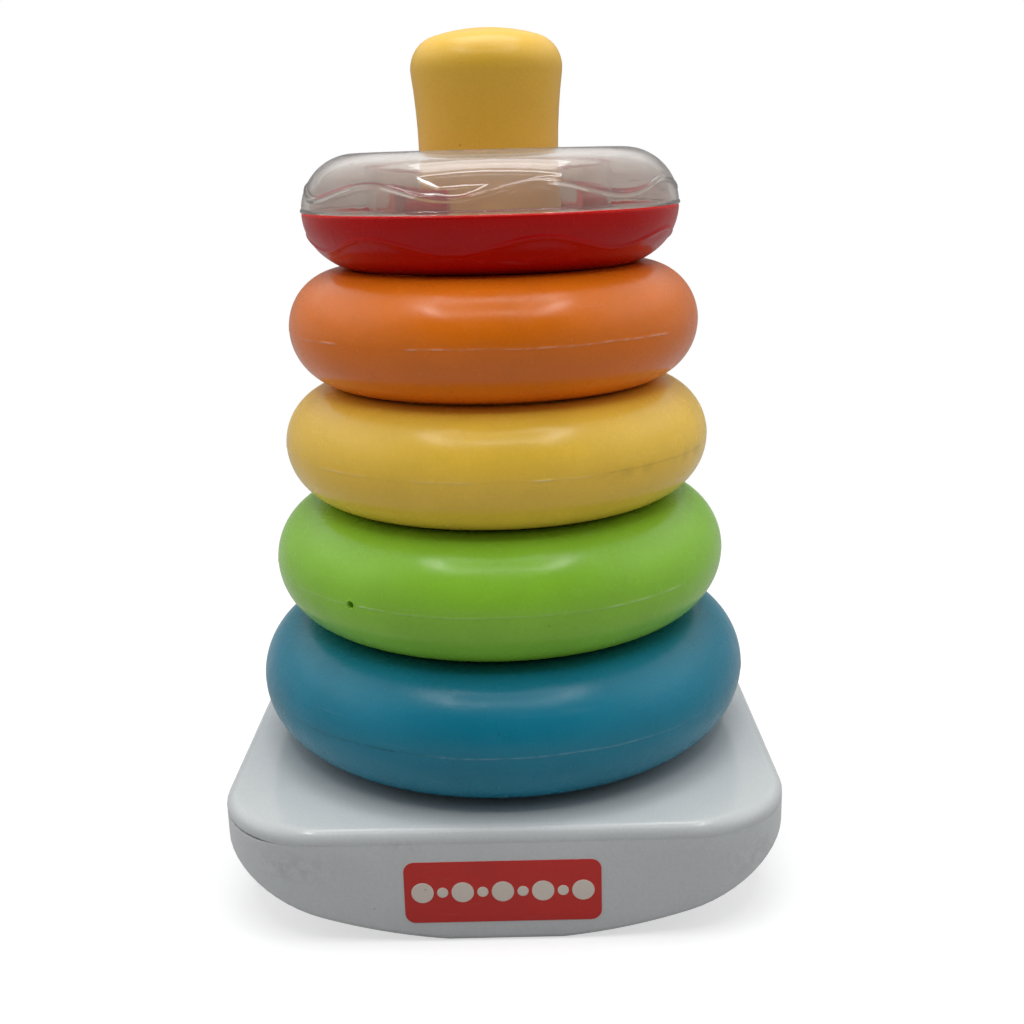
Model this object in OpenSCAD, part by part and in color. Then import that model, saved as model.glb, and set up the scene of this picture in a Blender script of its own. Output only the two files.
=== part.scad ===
// Stacking ring toy: a rocking base with a tapered post, four closed rings and a see-through rattle ring.
// Millimetres. The origin is the middle of the flat foot, +Z runs up the post and the front faces -Y.

/* [Base] */
// Width of the base, left to right, along which it rocks
base_w = 132; // [120:1:142]
// Depth of the base, front to back
base_d = 128; // [118:1:145]
// Height of the base, from the flat foot to its top
base_h = 28; // [26:0.5:40]
// Radius of the base's upright corners
base_corner_r = 24.5; // [12:0.5:34]
// Rounding of the base's top edge
base_edge_r = 3.6; // [2.6:0.1:4.5]
// Radius of the rocker arc under the base
rocker_r = 132; // [118:1:220]
// Width of the flat foot in the middle of the rocker
foot_w = 26; // [12:1:40]
// Wall of the base's two shells
base_wall = 2.2; // [1.6:0.1:2.6]
// Height of the upper shell, from the joint line to the top
cover_h = 4.2; // [3.6:0.1:6]
// Height of the lip that locates one shell in the other
lip_h = 1.4; // [1:0.1:1.8]
// Depth of the shadow line between the shells
joint_line = 0.3; // [0.1:0.05:0.6]

/* [Post] */
// Diameter of the post where it leaves the base
post_base_d = 56; // [50:1:60]
// Diameter of the post at its waist
waist_d = 33.2; // [28:0.2:36]
// Diameter of the knob
knob_d = 35.6; // [34:0.2:42]
// Height of the waist above the top of a straight stack
waist_lift = -1.5; // [-6:0.5:10]
// Height from the waist to the knob's widest circle
knob_rise = 18; // [14:0.5:26]
// Rounding of the knob's shoulder
knob_edge_r = 7.4; // [5:0.2:8]
// Radius of the slight dome on the knob
knob_dome_r = 44; // [35:1:90]
// How far the snap rib that holds the post under the upper shell stands out
snap_proud = 0.9; // [0.5:0.1:1.6]
// Height of the snap rib
snap_h = 1.8; // [1.2:0.1:3]
// Height of the ledge that the post stands on, above the floor
seat_z = 8; // [6.5:0.5:10]
// Width of that ledge
ledge_w = 2.2; // [1.6:0.1:3]
// How deep the post stands in its socket
socket_depth = 6; // [3:0.5:8]
// Wall of that socket
socket_wall = 2; // [1.4:0.1:3]

/* [Rings] */
// Section diameter of the lowest, blue ring
blue_section_d = 31.5; // [26:0.5:36]
// Section diameter of the green ring
green_section_d = 30; // [25:0.5:35]
// Section diameter of the yellow ring
yellow_section_d = 28; // [24:0.5:33]
// Section diameter of the orange ring
orange_section_d = 28; // [24:0.5:33]
// Radial play of the blue ring on the post
blue_play = 3.9; // [2:0.1:8]
// Radial play of the green ring on the post
green_play = 2.5; // [2:0.1:8]
// Radial play of the yellow ring on the post
yellow_play = 2.8; // [2:0.1:8]
// Radial play of the orange ring on the post
orange_play = 2.6; // [2:0.1:8]
// How far the moulding line stands proud of a ring
seam_proud = 0.16; // [0.05:0.02:0.4]
// Half width of the moulding line
seam_r = 0.5; // [0.3:0.05:0.8]
// Diameter of the vent hole beside a ring's moulding line
vent_d = 1.7; // [1:0.1:3]
// Depth of that vent hole
vent_depth = 3; // [1.5:0.1:5]

/* [Rattle ring] */
// Radius of the rattle ring's rounded outer side
rattle_section_r = 13.3; // [11.5:0.1:16]
// Width of the flat between the sleeve and the rounded side
rattle_flat_w = 2.6; // [1.5:0.1:6]
// Radial play of the rattle ring on the post
rattle_play = 7.6; // [3:0.2:12]
// Wall of the red lower shell and the clear cover
rattle_wall = 1.8; // [1.2:0.1:2.4]
// Wall of the lower shell's sleeve
sleeve_wall = 1.5; // [1:0.1:2.4]
// Gap between the two sleeves
sleeve_gap = 0.2; // [0.1:0.05:0.5]
// How far the clear sleeve reaches below the seam
sleeve_overlap = 6; // [3:0.5:8]
// How far the locating fingers stand above the seam
finger_h = 5; // [3:0.5:8]
// Angle that one locating finger covers
finger_deg = 22; // [12:1:40]
// How far the clear rim stands proud at the seam
rim_proud = 0.25; // [0.1:0.05:0.5]
// Height of the clear rim at the seam
rim_h = 0.9; // [0.6:0.1:1.5]
// Height of the clear cover's wave above the seam
clear_wave_z = 4.8; // [3:0.1:7]
// Depth of the red shell's wave below the seam
red_wave_z = 6.6; // [4:0.1:8]
// Swing of the waves to either side
wave_swing = 1.6; // [0.6:0.1:2.2]
// Number of waves round the ring
wave_count = 7; // [5:1:10]
// Half width of the raised wave line
wave_r = 0.65; // [0.4:0.05:0.9]
// Diameter of a rattle bead
bead_d = 5.5; // [3:0.1:5.8]
// Number of beads of each colour
beads_per_colour = 3; // [2:1:4]

/* [Clearances] */
// Gap left between one ring and what it rests on
rest_gap = 0.3; // [0.2:0.05:0.6]
// Gap between the post and the hole it passes through
post_gap = 0.2; // [0.1:0.05:0.5]
// Gap between the lip of one base shell and the other shell
lip_gap = 0.15; // [0.1:0.05:0.3]

/* [Hidden] */
$fn = 128;

white = [0.90, 0.91, 0.92];
yellow = [0.96, 0.78, 0.30];
blue = [0.13, 0.50, 0.62];
green = [0.53, 0.78, 0.25];
orange = [0.95, 0.51, 0.16];
red = [0.78, 0.09, 0.10];
clear = [0.75, 0.72, 0.70, 0.45];

// Overshoot of a cutting solid
cut = 1;

// Base heights
joint_z = base_h - cover_h;
rocker_axis_z = sqrt(pow(rocker_r, 2) - pow(foot_w / 2, 2));
snap_z = base_h - base_wall - snap_h;
lip_inset = base_wall / 2;

// Ring sections, from the lowest ring up
section_r = [blue_section_d, green_section_d, yellow_section_d, orange_section_d] / 2;
play = [blue_play, green_play, yellow_play, orange_play];
vent_angle = [70, 234, 118, 48];

// Straight stack heights, with each ring directly above the last one
function straight_z(i) =
    i == 0 ? base_h + rest_gap + section_r[0]
           : straight_z(i - 1) + section_r[i - 1] + rest_gap + section_r[i];
straight_rattle_z = straight_z(3) + section_r[3] + rest_gap + rattle_section_r;

// Post: a cone that runs tangent into the waist, whose arc runs on to the knob
post_r0 = post_base_d / 2;
waist_r = waist_d / 2;
knob_r = knob_d / 2;
waist_z = straight_rattle_z + rattle_section_r + waist_lift;
flare_r = (pow(knob_rise, 2) + pow(knob_r - waist_r, 2)) / (2 * (knob_r - waist_r));
flare_centre = [waist_r + flare_r, waist_z];
knob_angle = asin(knob_rise / flare_r);
knob_dir = [-cos(knob_angle), sin(knob_angle)];
knob_start = flare_centre + flare_r * knob_dir;
shoulder = flare_centre + (flare_r + knob_edge_r) * knob_dir;
dome_z = shoulder[1] - sqrt(pow(knob_dome_r - knob_edge_r, 2) - pow(shoulder[0], 2));
dome_dir = (shoulder - [0, dome_z]) / (knob_dome_r - knob_edge_r);
post_top_z = dome_z + knob_dome_r;
cone_foot = [post_r0, base_h];
cone_span = norm(flare_centre - cone_foot);
cone_angle = atan2(flare_centre[1] - cone_foot[1], flare_centre[0] - cone_foot[0])
    + asin(flare_r / cone_span);
cone_top = cone_foot
    + sqrt(pow(cone_span, 2) - pow(flare_r, 2)) * [cos(cone_angle), sin(cone_angle)];
function post_r(z) =
    z < cone_top[1]
        ? post_r0 + (cone_top[0] - post_r0) * (z - base_h) / (cone_top[1] - base_h)
        : waist_r;

// Each ring clears the post at its own height, and the knob on its way off
function hole_r(i) = max(post_r(straight_z(i)), knob_r) + play[i];
function mid_r(i) = hole_r(i) + section_r[i];

// A ring settles into the ring below it, so the stack is a little lower than a straight one
function ring_z(i) =
    i == 0 ? straight_z(0)
           : ring_z(i - 1) + sqrt(pow(section_r[i - 1] + rest_gap + section_r[i], 2)
                                  - pow(mid_r(i - 1) - mid_r(i), 2));

// Rattle ring
rattle_bore_r = max(post_r(straight_rattle_z - rattle_section_r), knob_r) + rattle_play;
clear_bore_r = rattle_bore_r + sleeve_wall + sleeve_gap;
sleeve_r = clear_bore_r + rattle_wall;
rattle_mid_r = sleeve_r + rattle_flat_w;
rattle_lean = max(mid_r(3) - rattle_mid_r, 0);
rattle_z = ring_z(3) + sqrt(pow(section_r[3] + rest_gap + rattle_section_r, 2) - pow(rattle_lean, 2));
chamber_r = rattle_section_r - rattle_wall;
finger_count = 4;
finger_start = -120;
wave_start = -74.5;
wave_steps = 14 * wave_count;
wave_sides = 6;
wave_sink = 0.2;

// Beads lie on the floor of the trough, just clear of it
bead_r = bead_d / 2;
bead_lean = 0.9;
bead_orbit_r = rattle_mid_r + bead_lean;
bead_z = rattle_z - sqrt(pow(chamber_r - bead_r - rest_gap, 2) - pow(bead_lean, 2));
bead_colours = 4;
bead_step = 360 / (bead_colours * beads_per_colour);
bead_scatter = 0.22 * bead_step;

// Plan of the base, drawn in from its outline
module rounded_plan(inset) {
    r = base_corner_r - inset;
    w = base_w - 2 * inset;
    d = base_d - 2 * inset;
    square([w - 2 * r, d], center = true);
    square([w, d - 2 * r], center = true);
    for (x = [-1, 1], y = [-1, 1])
        translate([x * (w / 2 - r), y * (d / 2 - r)])
            circle(r);
}

// Straight-sided slab on the base's plan
module plan_slab(inset, z0, z1) {
    translate([0, 0, z0])
        linear_extrude(z1 - z0)
            rounded_plan(inset);
}

// Quarter disc that rounds an edge
module quarter_disc(r) {
    intersection() {
        circle(r);
        square(r + cut);
    }
}

// Rounded border on the base's plan: a bar along each side and a swept quarter at each corner
module rounded_border(inset, z, edge) {
    r = base_corner_r - inset;
    w = base_w - 2 * inset;
    d = base_d - 2 * inset;
    for (i = [0 : 3]) {
        across = i % 2 == 0 ? w : d;
        along = i % 2 == 0 ? d : w;
        rotate([0, 0, 90 * i]) {
            translate([across / 2 - edge, along / 2 - r, z])
                rotate([90, 0, 0])
                    linear_extrude(along - 2 * r)
                        quarter_disc(edge);
            translate([across / 2 - r, along / 2 - r, z])
                rotate_extrude(angle = 90)
                    translate([r - edge, 0])
                        quarter_disc(edge);
        }
    }
}

// Slab on the base's plan with its top edge rounded all round
module soft_slab(inset, h, edge) {
    plan_slab(inset, 0, h - edge);
    plan_slab(inset + edge, 0, h);
    rounded_border(inset, h - edge, edge);
}

// Round bar along Y whose underside is the rocker arc
module rocker_bar(inset) {
    translate([0, 0, rocker_axis_z])
        rotate([90, 0, 0])
            cylinder(r = rocker_r - inset, h = base_d + 2 * cut, center = true);
}

// White upper shell of the base
module base_cover() {
    inner_edge = max(base_edge_r - base_wall, base_edge_r / 4);
    color(white)
        translate([0, 0, joint_z])
            difference() {
                soft_slab(0, cover_h, base_edge_r);
                translate([0, 0, -cut])
                    soft_slab(base_wall, cover_h - base_wall + cut, inner_edge);
                plan_slab(lip_inset, -cut, lip_h + lip_gap);
                translate([0, 0, -cut])
                    cylinder(r = post_r0 + post_gap, h = cover_h + 2 * cut);
            }
}

// Half section of the socket: a ledge under the post and a collar round it
module socket_section() {
    ledge_r = post_r0 - ledge_w;
    collar_r = post_r0 + post_gap;
    translate([ledge_r, 0])
        square([collar_r + socket_wall - ledge_r, seat_z]);
    translate([collar_r, 0])
        square([socket_wall, seat_z + socket_depth]);
}

// White lower shell of the base, with the rocker underneath and the post's socket inside
module base_rocker() {
    color(white) {
        difference() {
            intersection() {
                union() {
                    plan_slab(0, 0, joint_z - joint_line);
                    plan_slab(joint_line, 0, joint_z);
                    plan_slab(lip_inset + lip_gap, 0, joint_z + lip_h);
                }
                rocker_bar(0);
            }
            intersection() {
                plan_slab(base_wall, base_wall, base_h);
                rocker_bar(base_wall);
            }
        }
        intersection() {
            rotate_extrude()
                socket_section();
            rocker_bar(base_wall / 2);
        }
    }
}

// Half outline of the post: cone, waist, flared knob and slight dome
module post_outline() {
    difference() {
        polygon([
            [0, seat_z],
            [post_r0, seat_z],
            cone_foot,
            cone_top,
            knob_start,
            shoulder,
            [0, shoulder[1]]
        ]);
        translate(flare_centre)
            circle(flare_r, $fn = 720);
    }
    translate(shoulder)
        circle(knob_edge_r);
    intersection() {
        translate([0, dome_z])
            circle(knob_dome_r, $fn = 360);
        polygon([
            [0, dome_z],
            [0, dome_z] + (knob_dome_r + cut) * dome_dir,
            [0, post_top_z + cut]
        ]);
    }
}

// Yellow post, standing in the socket and held by its snap rib
module centre_post() {
    color(yellow)
        rotate_extrude() {
            post_outline();
            translate([0, snap_z])
                square([post_r0 + snap_proud, snap_h]);
        }
}

// Closed ring with a moulding line round its outer and inner side and a blind vent hole
module closed_ring(i) {
    r = section_r[i];
    translate([0, 0, ring_z(i)])
        difference() {
            rotate_extrude()
                translate([mid_r(i), 0]) {
                    circle(r);
                    for (side = [-1, 1])
                        translate([side * (r + seam_proud - seam_r), 0])
                            circle(seam_r);
                }
            rotate([0, 0, vent_angle[i]])
                translate([mid_r(i) + r - vent_depth, 0, 0])
                    rotate([0, 90, 0])
                        cylinder(d = vent_d, h = vent_depth + cut);
        }
}

module blue_ring() {
    color(blue) closed_ring(0);
}

module green_ring() {
    color(green) closed_ring(1);
}

module yellow_ring() {
    color(yellow) closed_ring(2);
}

module orange_ring() {
    color(orange) closed_ring(3);
}

// Quarter of the rattle ring's section with its flat, from the inner radius out; mirrored for the lower half
module rattle_quarter(inner_r, section) {
    intersection() {
        translate([rattle_mid_r, 0])
            circle(section);
        translate([rattle_mid_r, 0])
            square([section + cut, section + cut]);
    }
    translate([inner_r, 0])
        square([rattle_mid_r - inner_r, section]);
}

// Closed raised line that swings up and down on the ring's rounded side
module wave_line(side, mean_z) {
    function height(a) = mean_z + wave_swing * side * cos(wave_count * (a - wave_start));
    function lean(a) = asin(height(a) / rattle_section_r);
    function ring_point(a, turn) =
        let (
            t = lean(a),
            out = rattle_section_r + wave_r * (cos(turn) - wave_sink),
            along = wave_r * sin(turn),
            radius = rattle_mid_r + out * cos(t) - along * sin(t),
            z = out * sin(t) + along * cos(t)
        )
        [radius * cos(a), radius * sin(a), side * z];
    points = [
        for (i = [0 : wave_steps - 1], k = [0 : wave_sides - 1])
            ring_point(360 * i / wave_steps, side * 360 * k / wave_sides)
    ];
    function index(i, k) = (i % wave_steps) * wave_sides + k % wave_sides;
    faces = [
        for (i = [0 : wave_steps - 1], k = [0 : wave_sides - 1], half = [0, 1])
            half == 0
                ? [index(i, k), index(i, k + 1), index(i + 1, k)]
                : [index(i, k + 1), index(i + 1, k + 1), index(i + 1, k)]
    ];
    polyhedron(points, faces);
}

// Red lower shell: trough for the beads, and a sleeve on the post that ends in locating fingers
module rattle_lower_shell() {
    finger_step = 360 / finger_count;
    color(red)
        translate([0, 0, rattle_z]) {
            difference() {
                rotate_extrude() {
                    mirror([0, 1])
                        difference() {
                            rattle_quarter(rattle_bore_r, rattle_section_r);
                            rattle_quarter(rattle_bore_r + sleeve_wall, chamber_r);
                        }
                    translate([rattle_bore_r, 0])
                        square([sleeve_wall, finger_h]);
                }
                for (i = [0 : finger_count - 1])
                    rotate([0, 0, finger_start + finger_step * i + finger_deg / 2])
                        rotate_extrude(angle = finger_step - finger_deg)
                            translate([rattle_bore_r - cut, 0])
                                square([sleeve_wall + 2 * cut, finger_h + cut]);
            }
            wave_line(-1, red_wave_z);
        }
}

// Clear cover: rounded dome, flat top, sleeve inside and a rim at the seam
module rattle_clear_cover() {
    color(clear)
        translate([0, 0, rattle_z]) {
            rotate_extrude() {
                difference() {
                    rattle_quarter(clear_bore_r, rattle_section_r);
                    rattle_quarter(sleeve_r, chamber_r);
                }
                translate([clear_bore_r, -sleeve_overlap])
                    square([rattle_wall, sleeve_overlap + cut]);
                translate([rattle_mid_r + chamber_r, 0])
                    square([rattle_wall + rim_proud, rim_h]);
            }
            wave_line(1, clear_wave_z);
        }
}

// Loose beads of one colour in the trough
module bead_group(first) {
    for (i = [first : bead_colours : bead_colours * beads_per_colour - 1])
        rotate([0, 0, bead_step * i + bead_scatter * sin(137 * i)])
            translate([bead_orbit_r, 0, bead_z])
                sphere(bead_r);
}

module blue_beads() {
    color(blue) bead_group(0);
}

module green_beads() {
    color(green) bead_group(1);
}

module yellow_beads() {
    color(yellow) bead_group(2);
}

module orange_beads() {
    color(orange) bead_group(3);
}

base_cover();
base_rocker();
centre_post();
blue_ring();
green_ring();
yellow_ring();
orange_ring();
rattle_lower_shell();
rattle_clear_cover();
blue_beads();
green_beads();
yellow_beads();
orange_beads();
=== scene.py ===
"""Looks of the stacking ring toy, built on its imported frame. Metres, in the part's own frame."""
import math

import bpy
import numpy as np
from mathutils import Matrix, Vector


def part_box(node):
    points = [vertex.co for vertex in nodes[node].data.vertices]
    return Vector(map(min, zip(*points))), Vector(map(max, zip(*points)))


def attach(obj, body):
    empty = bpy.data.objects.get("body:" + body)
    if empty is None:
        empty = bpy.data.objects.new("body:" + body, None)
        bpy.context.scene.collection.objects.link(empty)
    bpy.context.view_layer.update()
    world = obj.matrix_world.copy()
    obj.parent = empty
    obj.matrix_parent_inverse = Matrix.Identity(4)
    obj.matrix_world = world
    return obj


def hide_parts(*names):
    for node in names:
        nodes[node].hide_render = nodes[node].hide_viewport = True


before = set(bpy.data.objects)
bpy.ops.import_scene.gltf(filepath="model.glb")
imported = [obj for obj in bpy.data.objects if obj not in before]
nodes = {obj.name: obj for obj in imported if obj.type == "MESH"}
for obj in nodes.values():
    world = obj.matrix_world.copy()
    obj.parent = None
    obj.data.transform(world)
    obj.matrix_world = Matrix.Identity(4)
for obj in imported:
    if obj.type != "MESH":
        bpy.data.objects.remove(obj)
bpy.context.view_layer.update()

MM = 0.001
TAU = 2 * math.pi

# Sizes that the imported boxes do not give, in millimetres
SEAM_PROUD = 0.16
REST_GAP = 0.3
CORNER_R = 24.5
EDGE_R = 2.7
BASE_WALL = 2.2
ROCKER_R = 132.0
FOOT_HALF = 13.0
JOINT_Z = 24.6
POST_HOLE_R = 28.2
RATTLE_R = 13.3
RATTLE_MID = 31.91
RATTLE_WALL = 1.8
RATTLE_BORE = 25.81
SLEEVE_WALL = 1.5
CLEAR_BORE = 27.51
SLEEVE_R = 29.31
SLEEVE_OVERLAP = 6.0
FINGER_H = 5.0
FINGER_DEG = 22.0
FINGER_START = -120.0
WAVE_COUNT = 7
WAVE_START = math.radians(-74.5)
WAVE_SWING = 1.6
CLEAR_WAVE_Z = 4.8
RED_WAVE_Z = 6.6
WAVE_HALF = 0.8
RED_WAVE_H = 0.26
CLEAR_WAVE_H = 0.24
SEAT_SAG = REST_GAP - 0.04
JOINT_GAP = 0.45
LAP_H = 1.2
UNDER_EDGE_R = 1.6
POST_HOLE_LIP = 0.7
VENT_R = 0.92
VENT_DEPTH = 2.4
VENT_REACH = 1.7
SEAM_BAND = 1.5
INNER_BAND = 1.2
LABEL_X, LABEL_Z = -0.5, 12.6
LABEL_HALF_W, LABEL_HALF_H = 22.1, 7.6
LABEL_CORNER_R = 2.4
DOT_PITCH = 4.5
LARGE_DOT_R, SMALL_DOT_R = 2.5, 1.25

# Counts of mesh rows and columns
RING_COLS, RING_ROWS = 360, 80
VENT_COLS, SEAM_ROWS, INNER_ROWS = 25, 41, 9
RATTLE_COLS, SIDE_ROWS, WAVE_ROWS = 336, 14, 15
SIDE_STEPS, CORNER_STEPS = 16, 14
DOT_COUNT, DOT_STEPS = 9, 60


# Mesh helpers

def mesh_object(name, verts, faces, material):
    """A smooth mesh object, with its points given in millimetres."""
    mesh = bpy.data.meshes.new(name)
    mesh.from_pydata((np.asarray(verts, float) * MM).tolist(), [], faces)
    mesh.polygons.foreach_set("use_smooth", np.ones(len(mesh.polygons), bool))
    mesh.materials.append(material)
    mesh.update()
    obj = bpy.data.objects.new(name, mesh)
    bpy.context.scene.collection.objects.link(obj)
    return obj


def grid_faces(rows, cols, wrap_rows=False, wrap_cols=False, start=0, flip=False):
    """Quads of a grid of points stored row by row."""
    r = np.arange(rows if wrap_rows else rows - 1)
    c = np.arange(cols if wrap_cols else cols - 1)
    i, j = np.meshgrid(r, c, indexing="ij")
    i, j = i.ravel(), j.ravel()
    i2, j2 = (i + 1) % rows, (j + 1) % cols
    quads = np.stack([i * cols + j, i * cols + j2, i2 * cols + j2, i2 * cols + j], axis=1) + start
    return (quads[:, ::-1] if flip else quads).tolist()


def smooth_step(x):
    """Soft ramp from 0 to 1."""
    x = np.clip(x, 0, 1)
    return x * x * (3 - 2 * x)


def ripple(a, t, seed, amount):
    """Soft unevenness of a moulded wall, from a few slow waves round and across it."""
    out = np.zeros(np.broadcast(a, t).shape)
    for k in range(1, 7):
        m = 1 + (seed * 3 + k * 5) % 9
        n = 1 + (seed + k * 2) % 4
        out = out + np.sin(m * a + n * t + 1.7 * k + seed) / (1 + 0.25 * m)
    return amount * out / 2.2


def broken_line(a, seed, cover):
    """Strength from 0 to 1 of a moulding line that fades in and out along its ring."""
    v = np.zeros(np.shape(a))
    for k, m in enumerate((3, 7, 12, 19, 31, 47)):
        v = v + np.sin(m * a + seed * (k + 1.3)) / (1 + 0.35 * k)
    return smooth_step((v + cover) / 1.4)


def fillet_path(corners, step=1.2):
    """Closed half section from corners (r, z, rounding), with rounded corners and short straight steps."""
    pts = []
    n = len(corners)
    for i in range(n):
        p = np.array(corners[i][:2], float)
        prev = np.array(corners[i - 1][:2], float)
        nxt = np.array(corners[(i + 1) % n][:2], float)
        rad = corners[i][2]
        if rad <= 0:
            pts.append(p)
            continue
        u = (prev - p) / np.linalg.norm(prev - p)
        w = (nxt - p) / np.linalg.norm(nxt - p)
        half = math.acos(np.clip(u @ w, -1, 1)) / 2
        reach = rad / math.tan(half)
        a, b = p + u * reach, p + w * reach
        centre = p + (u + w) / np.linalg.norm(u + w) * rad / math.sin(half)
        a0 = math.atan2(*(a - centre)[::-1])
        turn = (math.atan2(*(b - centre)[::-1]) - a0 + math.pi) % TAU - math.pi
        count = max(3, int(abs(turn) / 0.3))
        for k in range(count + 1):
            ang = a0 + turn * k / count
            pts.append(centre + rad * np.array([math.cos(ang), math.sin(ang)]))
    out = []
    for i in range(len(pts)):
        a, b = pts[i], pts[(i + 1) % len(pts)]
        k = max(1, int(np.linalg.norm(b - a) / step))
        out += [a + (b - a) * j / k for j in range(k)]
    return np.array(out)


# Materials

def add(tree, kind, **values):
    """A new shader node with its settings."""
    node = tree.nodes.new(kind)
    for key, value in values.items():
        setattr(node, key, value)
    return node


def link(tree, a, b):
    tree.links.new(a, b)


def value_of(tree, op, a, b, clamp=False):
    """Output of a Math node on two sockets or numbers."""
    node = add(tree, "ShaderNodeMath", operation=op, use_clamp=clamp)
    for i, v in enumerate((a, b)):
        if isinstance(v, (int, float)):
            node.inputs[i].default_value = v
        else:
            link(tree, v, node.inputs[i])
    return node.outputs[0]


def remap(tree, source, low, high, to_low=0.0, to_high=1.0):
    """Soft ramp of a socket's value from one range to another."""
    node = add(tree, "ShaderNodeMapRange", interpolation_type="SMOOTHSTEP")
    link(tree, source, node.inputs["Value"])
    node.inputs["From Min"].default_value = low
    node.inputs["From Max"].default_value = high
    node.inputs["To Min"].default_value = to_low
    node.inputs["To Max"].default_value = to_high
    return node.outputs["Result"]


def noise(tree, coords, scale, detail=2.0, rough=0.5, stretch=None):
    if stretch:
        mapping = add(tree, "ShaderNodeMapping")
        mapping.inputs["Scale"].default_value = stretch
        link(tree, coords, mapping.inputs["Vector"])
        coords = mapping.outputs["Vector"]
    node = add(tree, "ShaderNodeTexNoise")
    link(tree, coords, node.inputs["Vector"])
    node.inputs["Scale"].default_value = scale
    node.inputs["Detail"].default_value = detail
    node.inputs["Roughness"].default_value = rough
    return node.outputs["Fac"]


def colour_sockets(node):
    """The colour sockets of a Mix node share their names with the other types, so they are picked by type."""
    ins = [s for s in node.inputs if s.type == "RGBA"]
    out = [s for s in node.outputs if s.type == "RGBA"][0]
    fac = [s for s in node.inputs if s.type == "VALUE" and s.name == "Factor"][0]
    return fac, ins[0], ins[1], out


def mixed(tree, factor, a, b):
    """Mix of two colours or colour sockets."""
    node = add(tree, "ShaderNodeMix", data_type="RGBA")
    fac, first, second, out = colour_sockets(node)
    link(tree, factor, fac)
    for socket, v in ((first, a), (second, b)):
        if isinstance(v, (tuple, list)):
            socket.default_value = (*v[:3], 1)
        else:
            link(tree, v, socket)
    return out


def mixed_value(tree, factor, a, b):
    """Mix of a socket's number with a second socket or number."""
    node = add(tree, "ShaderNodeMix", data_type="FLOAT")
    link(tree, factor, node.inputs[0])
    link(tree, a, node.inputs[2])
    if isinstance(b, float):
        node.inputs[3].default_value = b
    else:
        link(tree, b, node.inputs[3])
    return node.outputs[0]


def linear(srgb):
    """Linear colour from 0 to 255 screen values."""
    return tuple(((c / 255 + 0.055) / 1.055) ** 2.4 if c > 10 else c / 255 / 12.92 for c in srgb)


def shade(colour, k):
    return tuple(min(1.0, c * k) for c in colour)


def attribute(tree, name):
    """Value of a mesh's point attribute, 0 where the mesh has none."""
    node = add(tree, "ShaderNodeAttribute", attribute_type="GEOMETRY", attribute_name=name)
    return node.outputs["Fac"]


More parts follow.
